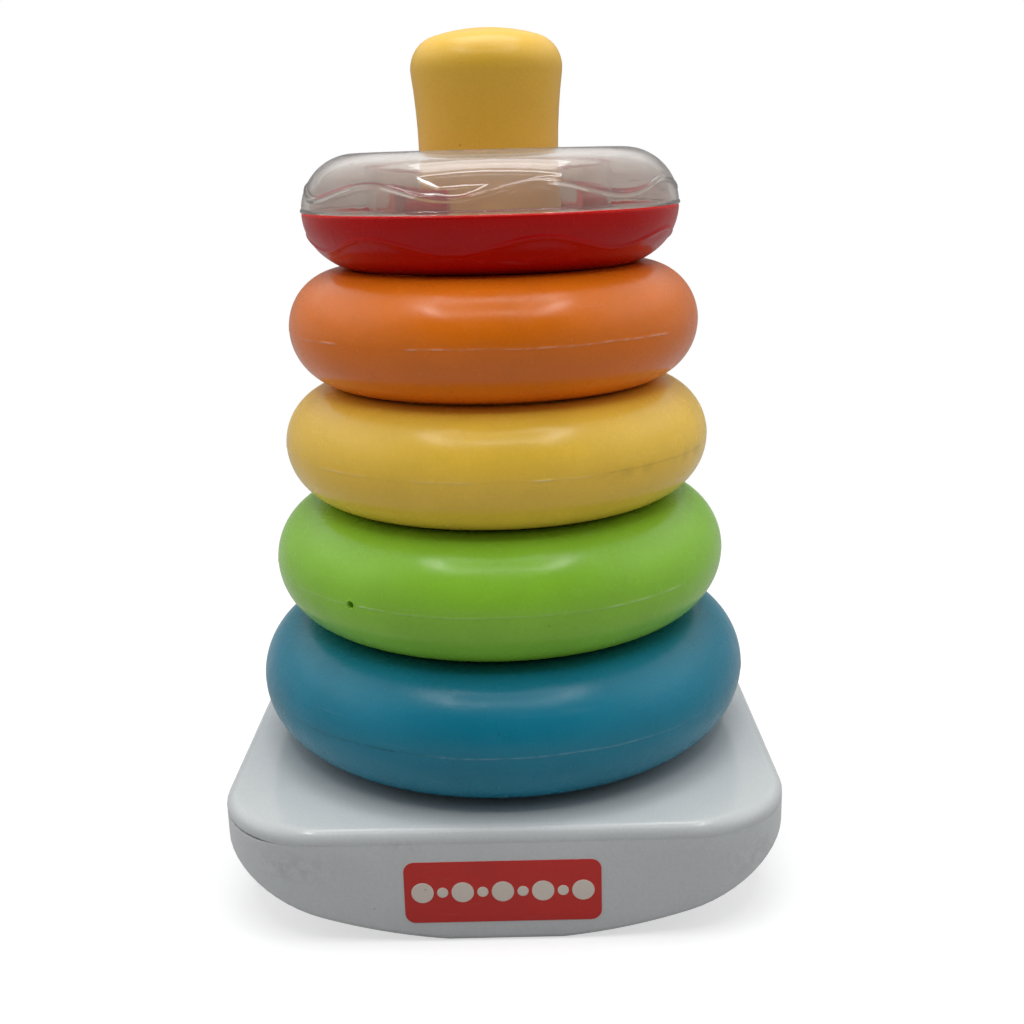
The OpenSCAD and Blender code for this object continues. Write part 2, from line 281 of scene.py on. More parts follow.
def plastic(name, srgb, rough, mottle=0.05, specks=0.12, scuffs=0.25, grain=0.05,
            dirt=None, seam=False, specular=0.39):
    """Moulded plastic: soft mottling, fine grain, scuffs, a few specks and an uneven gloss."""
    mat = bpy.data.materials.new(name)
    mat.use_nodes = True
    tree = mat.node_tree
    bsdf = tree.nodes["Principled BSDF"]
    coords = add(tree, "ShaderNodeTexCoord").outputs["Object"]
    base = linear(srgb)

    cloud = noise(tree, coords, 42, 3, 0.55)
    tone = mixed(tree, remap(tree, cloud, 0.3, 0.7), shade(base, 1 - mottle), shade(base, 1 + mottle))
    sand = remap(tree, noise(tree, coords, 1900, 2, 0.7), 0.3, 0.7, 0.0, 0.16)
    tone = mixed(tree, sand, tone, shade(base, 0.62))

    streak = noise(tree, coords, 1.0, 4, 0.6, stretch=(60, 60, 900))
    patch = remap(tree, noise(tree, coords, 65, 2), 0.5, 0.68)
    scuff = value_of(tree, "MULTIPLY", remap(tree, streak, 0.6, 0.7), patch)
    pale = tuple(c + (0.75 - c) * 0.25 for c in base)
    tone = mixed(tree, value_of(tree, "MULTIPLY", scuff, scuffs), tone, pale)

    cells = add(tree, "ShaderNodeTexVoronoi")
    link(tree, coords, cells.inputs["Vector"])
    cells.inputs["Scale"].default_value = 170
    spot = remap(tree, cells.outputs["Distance"], 0.05, 0.035)
    split = add(tree, "ShaderNodeSeparateColor")
    link(tree, cells.outputs["Color"], split.inputs["Color"])
    rare = remap(tree, split.outputs[0], 1 - specks, 1.01 - specks)
    spot = value_of(tree, "MULTIPLY", value_of(tree, "MULTIPLY", spot, rare), 0.5)
    tone = mixed(tree, spot, tone, shade(base, 0.35))

    if seam:
        worn = value_of(tree, "MULTIPLY", attribute(tree, "grime"), 0.4)
        tone = mixed(tree, worn, tone, shade(base, 0.55))
        # Dark mark: darkens the dark stretches of the moulding line, and paints shade into the vent hole
        sunk = value_of(tree, "MULTIPLY", attribute(tree, "dark_seam_and_vent_shade"), 0.75)
        tone = mixed(tree, sunk, tone, shade(base, 0.3))
        raised = value_of(tree, "MULTIPLY", attribute(tree, "seam_pale"), 0.7)
        tone = mixed(tree, raised, tone, tuple(c + (0.85 - c) * 0.5 for c in base))
    if dirt:
        smear = remap(tree, noise(tree, coords, 70, 5, 0.7), 0.6, 0.8)
        tone = mixed(tree, value_of(tree, "MULTIPLY", smear, 0.16), tone, linear(dirt))
        broken = remap(tree, noise(tree, coords, 420, 4, 0.7), 0.42, 0.62)
        stain = value_of(tree, "MULTIPLY", attribute(tree, "grime"), broken)
        tone = mixed(tree, value_of(tree, "MULTIPLY", stain, 0.16), tone, linear(dirt))
    link(tree, tone, bsdf.inputs["Base Color"])

    uneven = remap(tree, noise(tree, coords, 130, 3, 0.6), 0.3, 0.7, rough - 0.04, rough + 0.04)
    gloss = value_of(tree, "ADD", uneven, value_of(tree, "MULTIPLY", scuff, 0.12), clamp=True)
    link(tree, gloss, bsdf.inputs["Roughness"])

    fine = add(tree, "ShaderNodeBump")
    fine.inputs["Strength"].default_value = grain
    fine.inputs["Distance"].default_value = 0.0003
    link(tree, noise(tree, coords, 1500, 2, 0.6), fine.inputs["Height"])
    soft = add(tree, "ShaderNodeBump")
    soft.inputs["Strength"].default_value = 0.10
    soft.inputs["Distance"].default_value = 0.0006
    link(tree, noise(tree, coords, 210, 2), soft.inputs["Height"])
    link(tree, fine.outputs["Normal"], soft.inputs["Normal"])
    link(tree, soft.outputs["Normal"], bsdf.inputs["Normal"])
    bsdf.inputs["IOR"].default_value = 1.5
    bsdf.inputs["Specular IOR Level"].default_value = specular
    return mat


def clear_plastic(name):
    """Clear, smoky plastic with a faint haze of scuffs."""
    mat = bpy.data.materials.new(name)
    mat.use_nodes = True
    tree = mat.node_tree
    bsdf = tree.nodes["Principled BSDF"]
    coords = add(tree, "ShaderNodeTexCoord").outputs["Object"]
    haze = remap(tree, noise(tree, coords, 120, 4, 0.6), 0.42, 0.72)
    smoky = mixed(tree, haze, (0.55, 0.50, 0.46), (0.49, 0.445, 0.41))
    tone = mixed(tree, attribute(tree, "smoke"), (0.97, 0.93, 0.89), smoky)
    link(tree, tone, bsdf.inputs["Base Color"])
    link(tree, remap(tree, haze, 0, 1, 0.025, 0.07), bsdf.inputs["Roughness"])
    bump = add(tree, "ShaderNodeBump")
    bump.inputs["Strength"].default_value = 0.06
    bump.inputs["Distance"].default_value = 0.0004
    link(tree, noise(tree, coords, 300, 3), bump.inputs["Height"])
    link(tree, bump.outputs["Normal"], bsdf.inputs["Normal"])
    bsdf.inputs["Transmission Weight"].default_value = 0.92
    bsdf.inputs["IOR"].default_value = 1.46
    return mat


mats = {
    "base_white": plastic("base_white", (208, 211, 212), 0.14, 0.02, 0.08, 0.15, dirt=(112, 92, 74)),
    "post_yellow": plastic("post_yellow", (236, 187, 64), 0.33, 0.03, 0.06, 0.15),
    "ring_blue": plastic("ring_blue", (20, 127, 154), 0.28, 0.06, scuffs=0.08, seam=True, specular=0.31),
    "ring_green": plastic("ring_green", (144, 204, 55), 0.26, 0.05, scuffs=0.12, seam=True),
    "ring_yellow": plastic("ring_yellow", (248, 203, 72), 0.25, 0.05, scuffs=0.12, seam=True),
    "ring_orange": plastic("ring_orange", (231, 117, 17), 0.26, 0.05, scuffs=0.08, seam=True),
    "rattle_red": plastic("rattle_red", (188, 9, 6), 0.26, 0.05, 0.05, 0.12, 0.04, specular=0.2),
    "rattle_clear": clear_plastic("rattle_clear"),
    "bead_blue": plastic("bead_blue", (40, 120, 190), 0.18, 0.05, 0.0, 0.1, 0.02),
    "bead_green": plastic("bead_green", (110, 185, 60), 0.18, 0.05, 0.0, 0.1, 0.02),
    "bead_yellow": plastic("bead_yellow", (240, 200, 60), 0.18, 0.05, 0.0, 0.1, 0.02),
    "bead_orange": plastic("bead_orange", (240, 120, 40), 0.18, 0.05, 0.0, 0.1, 0.02),
    "label_red": plastic("label_red", (204, 42, 34), 0.42, 0.05, 0.1, 0.5, 0.06),
    "label_pale": plastic("label_pale", (226, 214, 202), 0.42, 0.05, 0.1, 0.3, 0.06),
}


def place(obj, body, slot, *replaced):
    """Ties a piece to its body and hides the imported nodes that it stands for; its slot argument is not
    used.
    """
    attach(obj, body)
    if replaced:
        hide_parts(*replaced)
    return obj


# Rings

def arc_strength(a, arcs):
    """Strength along a moulding line from (start, end, strength) in degrees, with soft ends."""
    out = np.zeros(np.shape(a))
    deg = np.degrees((a + math.pi) % TAU - math.pi)
    for start, end, level in arcs:
        inside = np.minimum(deg - start, end - deg)
        out = np.maximum(out, level * smooth_step(inside / 1.2 + 0.5))
    return out


def mark(obj, name, values):
    """Point attribute for a material to read."""
    layer = obj.data.attributes.new(name, "FLOAT", "POINT")
    layer.data.foreach_set("value", np.ravel(values).astype(np.float32))


def ring(name, node, body, slot, vent_deg, seed, pale, dark, grimy):
    """Blow-moulded ring with its broken moulding line, a slight mould step and a vent hole, with painted
    shade inside the vent hole.
    """
    low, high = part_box(node)
    sec = (high.z - low.z) / 2 / MM
    z0 = (high.z + low.z) / 2 / MM
    mid = high.x / MM - SEAM_PROUD - sec
    outer = mid + sec

    vent = math.radians(vent_deg)
    reach = VENT_REACH / outer
    cols = np.linspace(0, TAU, RING_COLS, endpoint=False)
    cols = cols[np.abs((cols - vent + math.pi) % TAU - math.pi) > reach]
    cols = np.sort(np.concatenate([cols, (vent + np.linspace(-reach, reach, VENT_COLS)) % TAU]))
    band = SEAM_BAND / sec
    back = INNER_BAND / sec
    rows = np.linspace(-math.pi, math.pi, RING_ROWS, endpoint=False)
    rows = rows[(np.abs(rows) > band) & (np.abs(rows) < math.pi - back)]
    rows = np.concatenate([rows, np.linspace(-band, band, SEAM_ROWS),
                           math.pi + np.linspace(-back, back, INNER_ROWS)])
    rows = np.sort((rows + math.pi) % TAU - math.pi)

    t, a = np.meshgrid(rows, cols, indexing="ij")
    along = sec * t
    deg = np.degrees((a + math.pi) % TAU - math.pi)
    hidden = smooth_step((np.abs(deg + 90) - 66) / 6)
    chips = np.sin(163 * a + 5 * np.sin(41 * a + seed)) + np.sin(89 * a + 3 * np.sin(23 * a + 2 * seed))
    fine = 0.35 + 0.65 * smooth_step((chips + 0.9) / 1.2)
    rise = arc_strength(a, pale) * fine + 0.7 * hidden * broken_line(a, seed, 0.3)
    sunk = arc_strength(a, dark) * fine
    drift = 0.10 * np.sin(9 * a + seed) + 0.06 * np.sin(23 * a)
    line = np.exp(-((along - drift) / 0.15) ** 2)

    out = ripple(a, t, seed, 0.05)
    out = out + 0.018 * np.tanh((along - drift) / 0.25) * np.cos(t / 2) ** 2
    out = out + (0.012 + 0.10 * rise - 0.08 * sunk) * np.exp(-((along - drift) / 0.2) ** 2)
    back_along = sec * (math.pi - np.abs(t))
    out = out + 0.10 * np.exp(-(back_along / 0.35) ** 2)
    turn = (a - vent + math.pi) % TAU - math.pi
    away = np.hypot(outer * turn, along)
    out = out - VENT_DEPTH * smooth_step((VENT_R - away) / 0.28)
    out = out + 0.07 * np.exp(-((away - 1.15) / 0.2) ** 2)
    r = mid + (sec + out) * np.cos(t)
    z = z0 + (sec + out) * np.sin(t)
    verts = np.stack([r * np.cos(a), r * np.sin(a), z], axis=-1).reshape(-1, 3)
    faces = grid_faces(len(rows), len(cols), True, True)
    obj = mesh_object(name, verts, faces, mats[slot])
    mark(obj, "seam_pale", np.clip(rise, 0, 1) * line)
    # Dark mark: the dark stretches of the moulding line, plus painted shade inside the vent hole
    mark(obj, "dark_seam_and_vent_shade", np.clip(sunk, 0, 1) * line + smooth_step((0.8 - away) / 0.3))
    blur = 0.5 + 0.5 * np.sin(29 * a + 2 * np.sin(17 * a + seed))
    mark(obj, "grime", arc_strength(a, grimy) * blur * np.exp(-((along + 0.4) / 1.3) ** 2))
    return place(obj, body, slot, node)


ring("blue_ring_body", "blue_ring", "blue", "ring_blue", 70, 1,
     [(-105, -60, 0.45), (-60, -42, 0.25)], [(-151, -111, 0.9), (-111, -104, 0.4)], [(-140, -112, 0.3)])
ring("green_ring_body", "green_ring", "green", "ring_green", 234, 2,
     [(-146, -128, 0.45), (-123.6, -119.5, 1.0), (-119, -115, 0.6), (-115, -64, 0.4), (-64, -42, 0.95)], [],
     [(-100, -66, 0.15)])
ring("yellow_ring_body", "yellow_ring", "yellow", "ring_yellow", 118, 3,
     [(-139, -123, 0.5), (-110, -95.5, 0.45), (-81, -75, 1.0), (-74, -66, 0.35)], [(-62, -24, 0.35)],
     [(-67, -22, 0.9)])
ring("orange_ring_body", "orange_ring", "orange", "ring_orange", 48, 4,
     [(-152, -141, 0.35), (-140, -133, 0.8), (-111.5, -99.8, 0.85), (-99, -82, 0.45), (-82, -62, 0.7),
      (-61, -38, 0.9)], [], [])


# Rattle ring

red_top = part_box("rattle_lower_shell")[0].z / MM + RATTLE_R


def wave_height(a):
    """Height of the raised wave's middle over its mean line."""
    return WAVE_SWING * np.cos(WAVE_COUNT * (a - WAVE_START))


def round_side(cols, side, mean_z, height, start):
    """Rows of (section angle, thickening) from a start angle to the crown, raised along the wave."""
    end = math.pi / 2
    lean = np.arcsin((mean_z + side * wave_height(cols)) / RATTLE_R)
    half = WAVE_HALF / RATTLE_R
    rows = []
    for k in range(SIDE_ROWS):
        f = k / SIDE_ROWS
        rows.append((start + (lean - half - start) * f, np.zeros_like(cols)))
    for k in range(WAVE_ROWS):
        u = -1 + 2 * k / (WAVE_ROWS - 1)
        rows.append((lean + half * u, np.full_like(cols, height * (1 - u * u) ** 1.5)))
    for k in range(1, SIDE_ROWS + 1):
        f = k / SIDE_ROWS
        rows.append((lean + half + (end - lean - half) * f, np.zeros_like(cols)))
    return rows


def revolve(name, cols, rings, material, flip):
    """Closed solid of revolution from rows of (radius, height) arrays, wrapped both ways."""
    verts = np.concatenate([np.stack([r * np.cos(cols), r * np.sin(cols), z], axis=-1) for r, z in rings])
    return mesh_object(name, verts, grid_faces(len(rings), len(cols), True, True, flip=flip), material)


def constant_rows(path, cols):
    """Rows that keep the same (radius, height) all round."""
    return [(np.full_like(cols, p[0]), np.full_like(cols, p[1])) for p in path]


def open_path(corners, step=0.8):
    """Part of a section: the rounded path through the corners, from the first to the last one."""
    path = fillet_path(corners, step)
    first = np.array(corners[0][:2])
    last = np.array(corners[-1][:2])
    start = int(np.argmin(np.linalg.norm(path - first, axis=1)))
    path = np.roll(path, -start, axis=0)
    stop = int(np.argmin(np.linalg.norm(path - last, axis=1)))
    return path[:stop + 1]


def even_columns():
    return np.linspace(-math.pi, math.pi, RATTLE_COLS, endpoint=False)


def finger_columns():
    """Columns with close pairs at the sides of the locating fingers."""
    cols = even_columns()
    edges = []
    for i in range(4):
        middle = math.radians(FINGER_START + 90 * i)
        for s in (-1, 1):
            e = middle + s * math.radians(FINGER_DEG / 2)
            edges += [e - 0.004, e - 0.0012, e + 0.0012, e + 0.004]
    edges = (np.array(edges) + math.pi) % TAU - math.pi
    near = np.abs((cols[:, None] - edges[None, :] + math.pi) % TAU - math.pi).min(axis=1)
    return np.sort(np.concatenate([cols[near > 0.008], edges]))


def finger_lift(cols):
    """1 on a locating finger and 0 between the fingers."""
    middle = np.radians(FINGER_START + 90 * np.arange(4))
    away = np.abs((cols[:, None] - middle[None, :] + math.pi) % TAU - math.pi).min(axis=1)
    return (away < math.radians(FINGER_DEG / 2)).astype(float)


def red_shell():
    """Lower shell with its raised wave, the sleeve and its fingers, and the bead trough."""
    cols = finger_columns()
    lift = finger_lift(cols) * FINGER_H
    rows = []
    for t, out in round_side(cols, -1, RED_WAVE_Z, RED_WAVE_H, math.radians(2.2)):
        sag = SEAT_SAG * smooth_step((t - math.radians(50)) / math.radians(30))
        rows.append((RATTLE_MID + (RATTLE_R + out) * np.cos(t), -(RATTLE_R + out) * np.sin(t) - sag))
    inner = RATTLE_BORE + SLEEVE_WALL
    seat = -RATTLE_R - SEAT_SAG
    under = open_path([(RATTLE_MID, seat, 0), (RATTLE_BORE, seat, 1.1), (RATTLE_BORE, -1.5, 0),
                       (RATTLE_MID, -1.5, 0)])
    rows += constant_rows(under[1:-1], cols)
    rim = ((RATTLE_BORE, -0.9), (RATTLE_BORE, -0.45), (RATTLE_BORE + 0.13, -0.13), (RATTLE_BORE + 0.45, 0),
           (inner - 0.45, 0), (inner - 0.13, -0.13), (inner, -0.45), (inner, -0.9))
    rows += [(r, z + lift) for r, z in constant_rows(rim, cols)]
    chamber = RATTLE_R - RATTLE_WALL
    wall = open_path([(inner, -1.5, 0), (inner, -chamber, 1.0), (RATTLE_MID, -chamber, 0),
                      (RATTLE_MID, -1.5, 0)])
    rows += constant_rows(wall[:-1], cols)
    arc = np.linspace(math.pi / 2, math.radians(1.0), 20)
    rows += constant_rows([(RATTLE_MID + chamber * math.cos(t), -chamber * math.sin(t)) for t in arc], cols)
    tip = RATTLE_MID + RATTLE_R
    lip = ((RATTLE_MID + chamber + 0.15, -0.03), (tip - 0.6, -0.03), (tip - 0.3, -0.05), (tip - 0.1, -0.15))
    rows += constant_rows(lip, cols)
    rows = [(r, z + red_top) for r, z in rows]
    obj = revolve("rattle_red_shell", cols, rows, mats["rattle_red"], True)
    return place(obj, "rattle", "rattle_red", "rattle_lower_shell")


def smoke_at(t):
    """Strength of the smoky tint: full in the thick outer wall, less over the top."""
    return 1 - 0.55 * smooth_step((np.asarray(t) - math.radians(35)) / math.radians(35))


def clear_shell():
    """Clear cover with its raised wave, its sleeve and the lip at the seam."""
    cols = even_columns()
    rows, smoke = [], []
    for t, out in round_side(cols, 1, CLEAR_WAVE_Z, CLEAR_WAVE_H, math.radians(4.6)):
        rows.append((RATTLE_MID + (RATTLE_R + out) * np.cos(t), (RATTLE_R + out) * np.sin(t)))
        smoke.append(smoke_at(t))
    chamber = RATTLE_R - RATTLE_WALL
    inside = open_path([(RATTLE_MID, RATTLE_R, 0), (CLEAR_BORE, RATTLE_R, 0.9),
                        (CLEAR_BORE, -SLEEVE_OVERLAP, 0.4), (SLEEVE_R, -SLEEVE_OVERLAP, 0.4),
                        (SLEEVE_R, chamber, 0.6), (RATTLE_MID, chamber, 0)])
    rows += constant_rows(inside[1:], cols)
    smoke += [np.zeros_like(cols)] * (len(inside) - 1)
    arc = np.linspace(math.pi / 2, math.radians(1.2), 22)[1:]
    rows += constant_rows([(RATTLE_MID + chamber * math.cos(t), chamber * math.sin(t)) for t in arc], cols)
    smoke += [np.full_like(cols, smoke_at(t)) for t in arc]
    tip = RATTLE_MID + RATTLE_R
    lip = ((RATTLE_MID + chamber + 0.12, 0.05), (tip - 0.3, 0.05), (tip + 0.08, 0.05), (tip + 0.2, 0.1),
           (tip + 0.25, 0.22), (tip + 0.25, 0.6), (tip + 0.2, 0.78), (tip + 0.08, 0.88), (tip - 0.04, 0.95))
    rows += constant_rows(lip, cols)
    smoke += [np.ones_like(cols)] * len(lip)
    rows = [(r, z + red_top) for r, z in rows]
    obj = revolve("rattle_clear_shell", cols, rows, mats["rattle_clear"], False)
    mark(obj, "smoke", np.array(smoke))
    obj.visible_shadow = False
    return place(obj, "rattle", "rattle_clear", "rattle_clear_cover")


red_shell()
clear_shell()


# Base

HALF_W, HALF_D, BASE_H = (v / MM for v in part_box("base_cover")[1])
AXIS_Z = math.sqrt(ROCKER_R ** 2 - FOOT_HALF ** 2)


def front_chain(inset):
    """Points of the base's outline from its left side, along the front, to its right side."""
    r = CORNER_R - inset
    cx, cy = HALF_W - CORNER_R, HALF_D - CORNER_R
    pts = []
    for k in range(CORNER_STEPS):
        ang = math.pi + 0.5 * math.pi * k / CORNER_STEPS
        pts.append((-cx + r * math.cos(ang), -cy + r * math.sin(ang)))
    xs = np.concatenate([np.linspace(-cx, -FOOT_HALF, 14)[:-1],
                         np.linspace(-FOOT_HALF, FOOT_HALF, 13)[:-1],
                         np.linspace(FOOT_HALF, cx, 14)])
    pts += [(x, -cy - r) for x in xs]
    for k in range(1, CORNER_STEPS + 1):
        ang = -0.5 * math.pi + 0.5 * math.pi * k / CORNER_STEPS
        pts.append((cx + r * math.cos(ang), -cy + r * math.sin(ang)))
    return np.array(pts)


def outline(inset):
    """Closed outline of the base in plan, seen from above turning left."""
    front = front_chain(inset)
    back = (front * [1, -1])[::-1]
    right = [front[-1] + (back[0] - front[-1]) * k / SIDE_STEPS for k in range(1, SIDE_STEPS)]
    left = [back[-1] + (front[0] - back[-1]) * k / SIDE_STEPS for k in range(1, SIDE_STEPS)]
    return np.concatenate([front, right, back, left])


def rocker_z(x, inset=0.0):
    """Height of the rocking underside, or of the inside floor above it."""
    x = np.abs(x)
    arc = AXIS_Z - np.sqrt((ROCKER_R - inset) ** 2 - np.minimum(x, ROCKER_R - inset - 1) ** 2)
    return np.maximum(arc, inset)


def loops_mesh(loops):
    """Points and faces of a stack of closed loops with equal counts."""
    n = len(loops[0])
    return np.concatenate(loops), grid_faces(len(loops), n, False, True)


def flat_grid(inset, height, start, chain_index, flip):
    """Grid that closes a loop of the base's outline, with the loop's own points at its border."""
    front = front_chain(inset)
    m = len(front)
    verts, ids = [], np.zeros((m, SIDE_STEPS + 1), int)
    for i in range(m):
        for j in range(SIDE_STEPS + 1):
            if j == 0:
                ids[i, j] = chain_index[i]
            elif j == SIDE_STEPS:
                ids[i, j] = chain_index[2 * m + SIDE_STEPS - 2 - i]
            elif i == 0:
                ids[i, j] = chain_index[len(chain_index) - j]
            elif i == m - 1:
                ids[i, j] = chain_index[m - 1 + j]
            else:
                y = front[i, 1] * (1 - 2 * j / SIDE_STEPS)
                ids[i, j] = start + len(verts)
                verts.append((front[i, 0], y, float(height(front[i, 0]))))
    faces = []
    for i in range(m - 1):
        for j in range(SIDE_STEPS):
            quad = [ids[i, j], ids[i + 1, j], ids[i + 1, j + 1], ids[i, j + 1]]
            faces.append(quad[::-1] if flip else quad)
    return verts, faces


def loop_at(inset, z):
    """Loop of the base's outline at one height, or at a height given by a function of x and y."""
    pts = outline(inset)
    zs = z(pts[:, 0], pts[:, 1]) if callable(z) else np.full(len(pts), z)
    return np.column_stack([pts, zs])


def joint_open(x, y):
    """How far the joint between the shells stands open, from 0 to 1: most at the left front corner."""
    ang = np.arctan2(y, x)

    def away(deg):
        return np.abs((ang - math.radians(deg) + math.pi) % TAU - math.pi)

    corner = smooth_step((0.22 - away(-141)) / 0.12)
    other = 0.15 * np.exp(-(away(-36) / 0.12) ** 2)
    rear = 0.6 * smooth_step((y + 30) / 40)
    return np.clip(0.02 + corner + other + rear, 0, 1)


def joint_loop(inset, drop, gap):
    """Loop beside the joint: its groove is shallow where the joint is nearly closed."""
    pts = outline(0.0)
    level = joint_open(pts[:, 0], pts[:, 1])
    full = outline(inset)
    pts = pts + (full - pts) * (0.05 + 0.95 * level)[:, None]
    return np.column_stack([pts, JOINT_Z - gap * level + drop * (0.08 + 0.92 * level)])


def base_rocker():
    """Lower shell: the lap inside the joint, the sides, the rocking underside and the inside."""
    lap = ((2.0, LAP_H), (1.45, LAP_H), (1.3, LAP_H - 0.2), (1.3, 0.3), (1.3, -JOINT_GAP), (0.8, -JOINT_GAP))
    loops = [loop_at(inset, JOINT_Z + rise) for inset, rise in lap]
    for inset, drop in ((0.4, 0.02), (0.14, 0.08), (0.03, 0.2), (0.0, 0.35)):
        loops.append(joint_loop(inset, -drop, JOINT_GAP))
    for k in range(1, 8):
        f = k / 8
        side = lambda x, y, f=f: (JOINT_Z - 1.4) * (1 - f) + (rocker_z(x) + UNDER_EDGE_R) * f
        loops.append(loop_at(0.0, side))
    for k in range(9):
        ang = 0.5 * math.pi * k / 8
        inset = UNDER_EDGE_R * (1 - math.cos(ang))
        rise = UNDER_EDGE_R * (1 - math.sin(ang))
        loops.append(loop_at(inset, lambda x, y, rise=rise: rocker_z(x) + rise))
    verts, faces = loops_mesh(loops)
    n = len(loops[0])
    count = len(verts)
    more, under = flat_grid(UNDER_EDGE_R, rocker_z, count, np.arange(count - n, count), True)
    verts = np.concatenate([verts, np.array(more)])
    faces = [f[::-1] for f in faces] + under
    inner_loops = [loop_at(BASE_WALL, JOINT_Z + LAP_H)]
    for k in range(1, 5):
        f = k / 4
        side = lambda x, y, f=f: (JOINT_Z + LAP_H) * (1 - f) + rocker_z(x, BASE_WALL) * f
        inner_loops.append(loop_at(BASE_WALL, side))
    start = len(verts)
    more, inner_faces = loops_mesh(inner_loops)
    verts = np.concatenate([verts, more])
    faces += (np.array(inner_faces) + start).tolist()
    last = start + len(more) - n
    floor_z = lambda x: rocker_z(x, BASE_WALL)
    more, floor_faces = flat_grid(BASE_WALL, floor_z, len(verts), np.arange(last, last + n), False)
    verts = np.concatenate([verts, np.array(more)])
    faces += floor_faces
    top = np.arange(n)
    nxt = (top + 1) % n
    faces += np.stack([top, nxt, start + nxt, start + top], axis=1).tolist()
    obj = mesh_object("base_rocker_shell", verts, faces, mats["base_white"])
    return place(obj, "base", "base_white", "base_rocker")


def base_cover():
    """Upper shell: the inside, the joint, the rounded edge, the top and the hole for the post."""
    loops = [loop_at(BASE_WALL, BASE_H - BASE_WALL), loop_at(BASE_WALL, JOINT_Z + 0.2),
             loop_at(BASE_WALL - 0.2, JOINT_Z), loop_at(1.0, JOINT_Z)]
    for inset, rise in ((0.4, 0.0), (0.14, 0.06), (0.03, 0.18), (0.0, 0.3)):
        loops.append(joint_loop(inset, rise, 0.0))
    for k in range(11):
        ang = 0.5 * math.pi * k / 10
        inset = EDGE_R * (1 - math.cos(ang))
        z = BASE_H - EDGE_R * (1 - math.sin(ang))
        loops.append(loop_at(inset, z))
    edge = outline(EDGE_R)
    ang = np.arctan2(edge[:, 1], edge[:, 0])
    hole = np.column_stack([np.cos(ang), np.sin(ang)])
    for f in (0.03, 0.12, 0.35, 0.65, 0.92, 0.985, 1.0):
        pts = edge * (1 - f) + hole * (POST_HOLE_R + POST_HOLE_LIP) * f
        loops.append(np.column_stack([pts, np.full(len(pts), BASE_H)]))
    for k in range(1, 6):
        b = 0.5 * math.pi * k / 5
        r = POST_HOLE_R + POST_HOLE_LIP * (1 - math.sin(b))
        z = BASE_H - POST_HOLE_LIP * (1 - math.cos(b))
        loops.append(np.column_stack([hole * r, np.full(len(hole), z)]))
    loops.append(np.column_stack([hole * POST_HOLE_R, np.full(len(hole), BASE_H - BASE_WALL)]))
    verts = np.concatenate(loops)
    faces = grid_faces(len(loops), len(edge), True, True)
    obj = mesh_object("base_cover_shell", verts, faces, mats["base_white"])
    return place(obj, "base", "base_white", "base_cover")


def smudges(obj, spots):
    """Grime on the base round (x, y, z, reach across, reach up) in millimetres."""
    co = np.zeros(len(obj.data.vertices) * 3)
    obj.data.vertices.foreach_get("co", co)
    co = co.reshape(-1, 3) / MM
    out = np.zeros(len(co))
    for x, y, z, wide, tall in spots:
        flat = ((co[:, 0] - x) ** 2 + (co[:, 1] - y) ** 2) / wide ** 2
        out = np.maximum(out, np.exp(-flat - ((co[:, 2] - z) / tall) ** 2))
    mark(obj, "grime", out)


smudges(base_rocker(), [(-22, -64, 24.2, 4.0, 0.9), (-48, -63, 19.0, 9.0, 3.0), (58, -58, 17, 9.0, 4.0)])
smudges(base_cover(), [(-22, -64, 25.0, 3.0, 0.5), (-50, -64, 24.9, 9.0, 0.5), (-64, -50, 24.9, 9.0, 0.5)])


def rounded_box(half_w, half_h, r, steps=7):
    """Outline of a rectangle with rounded corners, round its middle."""
    pts = []
    for k, (sx, sy) in enumerate(((1, 1), (-1, 1), (-1, -1), (1, -1))):
        for j in range(steps + 1):
            ang = 0.5 * math.pi * (k + j / steps)
            pts.append((sx * (half_w - r) + r * math.cos(ang), sy * (half_h - r) + r * math.sin(ang)))
    return np.array(pts)


def label():
    """Plain sticker on the front of the base."""
    section = ((0.0, -0.05), (0.0, 0.07), (0.04, 0.11), (0.12, 0.12), (1.0, 0.12), (3.0, 0.12), (6.0, 0.12))
    loops = []
    for inset, proud in section:
        pts = rounded_box(LABEL_HALF_W - inset, LABEL_HALF_H - inset, max(LABEL_CORNER_R - inset, 0.4))
        y = np.full(len(pts), -HALF_D - proud)
        loops.append(np.column_stack([pts[:, 0] + LABEL_X, y, pts[:, 1] + LABEL_Z]))
    verts, faces = loops_mesh(loops)
    n = len(loops[0])
    faces = faces + [list(range(n))[::-1], list(range(len(verts) - n, len(verts)))]
    obj = mesh_object("label_plate", verts, faces, mats["label_red"])
    return place(obj, "base", "rattle_red")


def label_dots():
    """Pale discs on the sticker, large and small in turn."""
    front = -HALF_D - 0.1
    section = ((0.0, 0.0), (0.0, 0.05), (0.08, 0.07), (0.4, 0.07))
    count = len(section)
    steps = DOT_STEPS
    ang = np.linspace(0, TAU, steps, endpoint=False)
    verts, faces = [], []
    for k in range(DOT_COUNT):
        r = SMALL_DOT_R if k % 2 else LARGE_DOT_R
        x = LABEL_X + DOT_PITCH * (k - DOT_COUNT // 2)
        start = count * steps * k
        for inset, proud in section:
            q = r - inset
            y = np.full(steps, front - proud)
            verts.append(np.column_stack([x + q * np.cos(ang), y, LABEL_Z + q * np.sin(ang)]))
        faces += grid_faces(count, steps, False, True, start)
        faces.append(list(range(start, start + steps))[::-1])
        faces.append(list(range(start + (count - 1) * steps, start + count * steps)))
    obj = mesh_object("label_dots", np.concatenate(verts), faces, mats["label_pale"])
    return place(obj, "base", "base_white")


label()
label_dots()


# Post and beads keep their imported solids

def dress(node, slot):
    """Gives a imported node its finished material."""
    obj = nodes[node]
    obj.data.materials.clear()
    obj.data.materials.append(mats[slot])


dress("centre_post", "post_yellow")
for colour in ("blue", "green", "yellow", "orange"):
    dress(colour + "_beads", "bead_" + colour)


# Camera, from the fit to the photograph's outlines

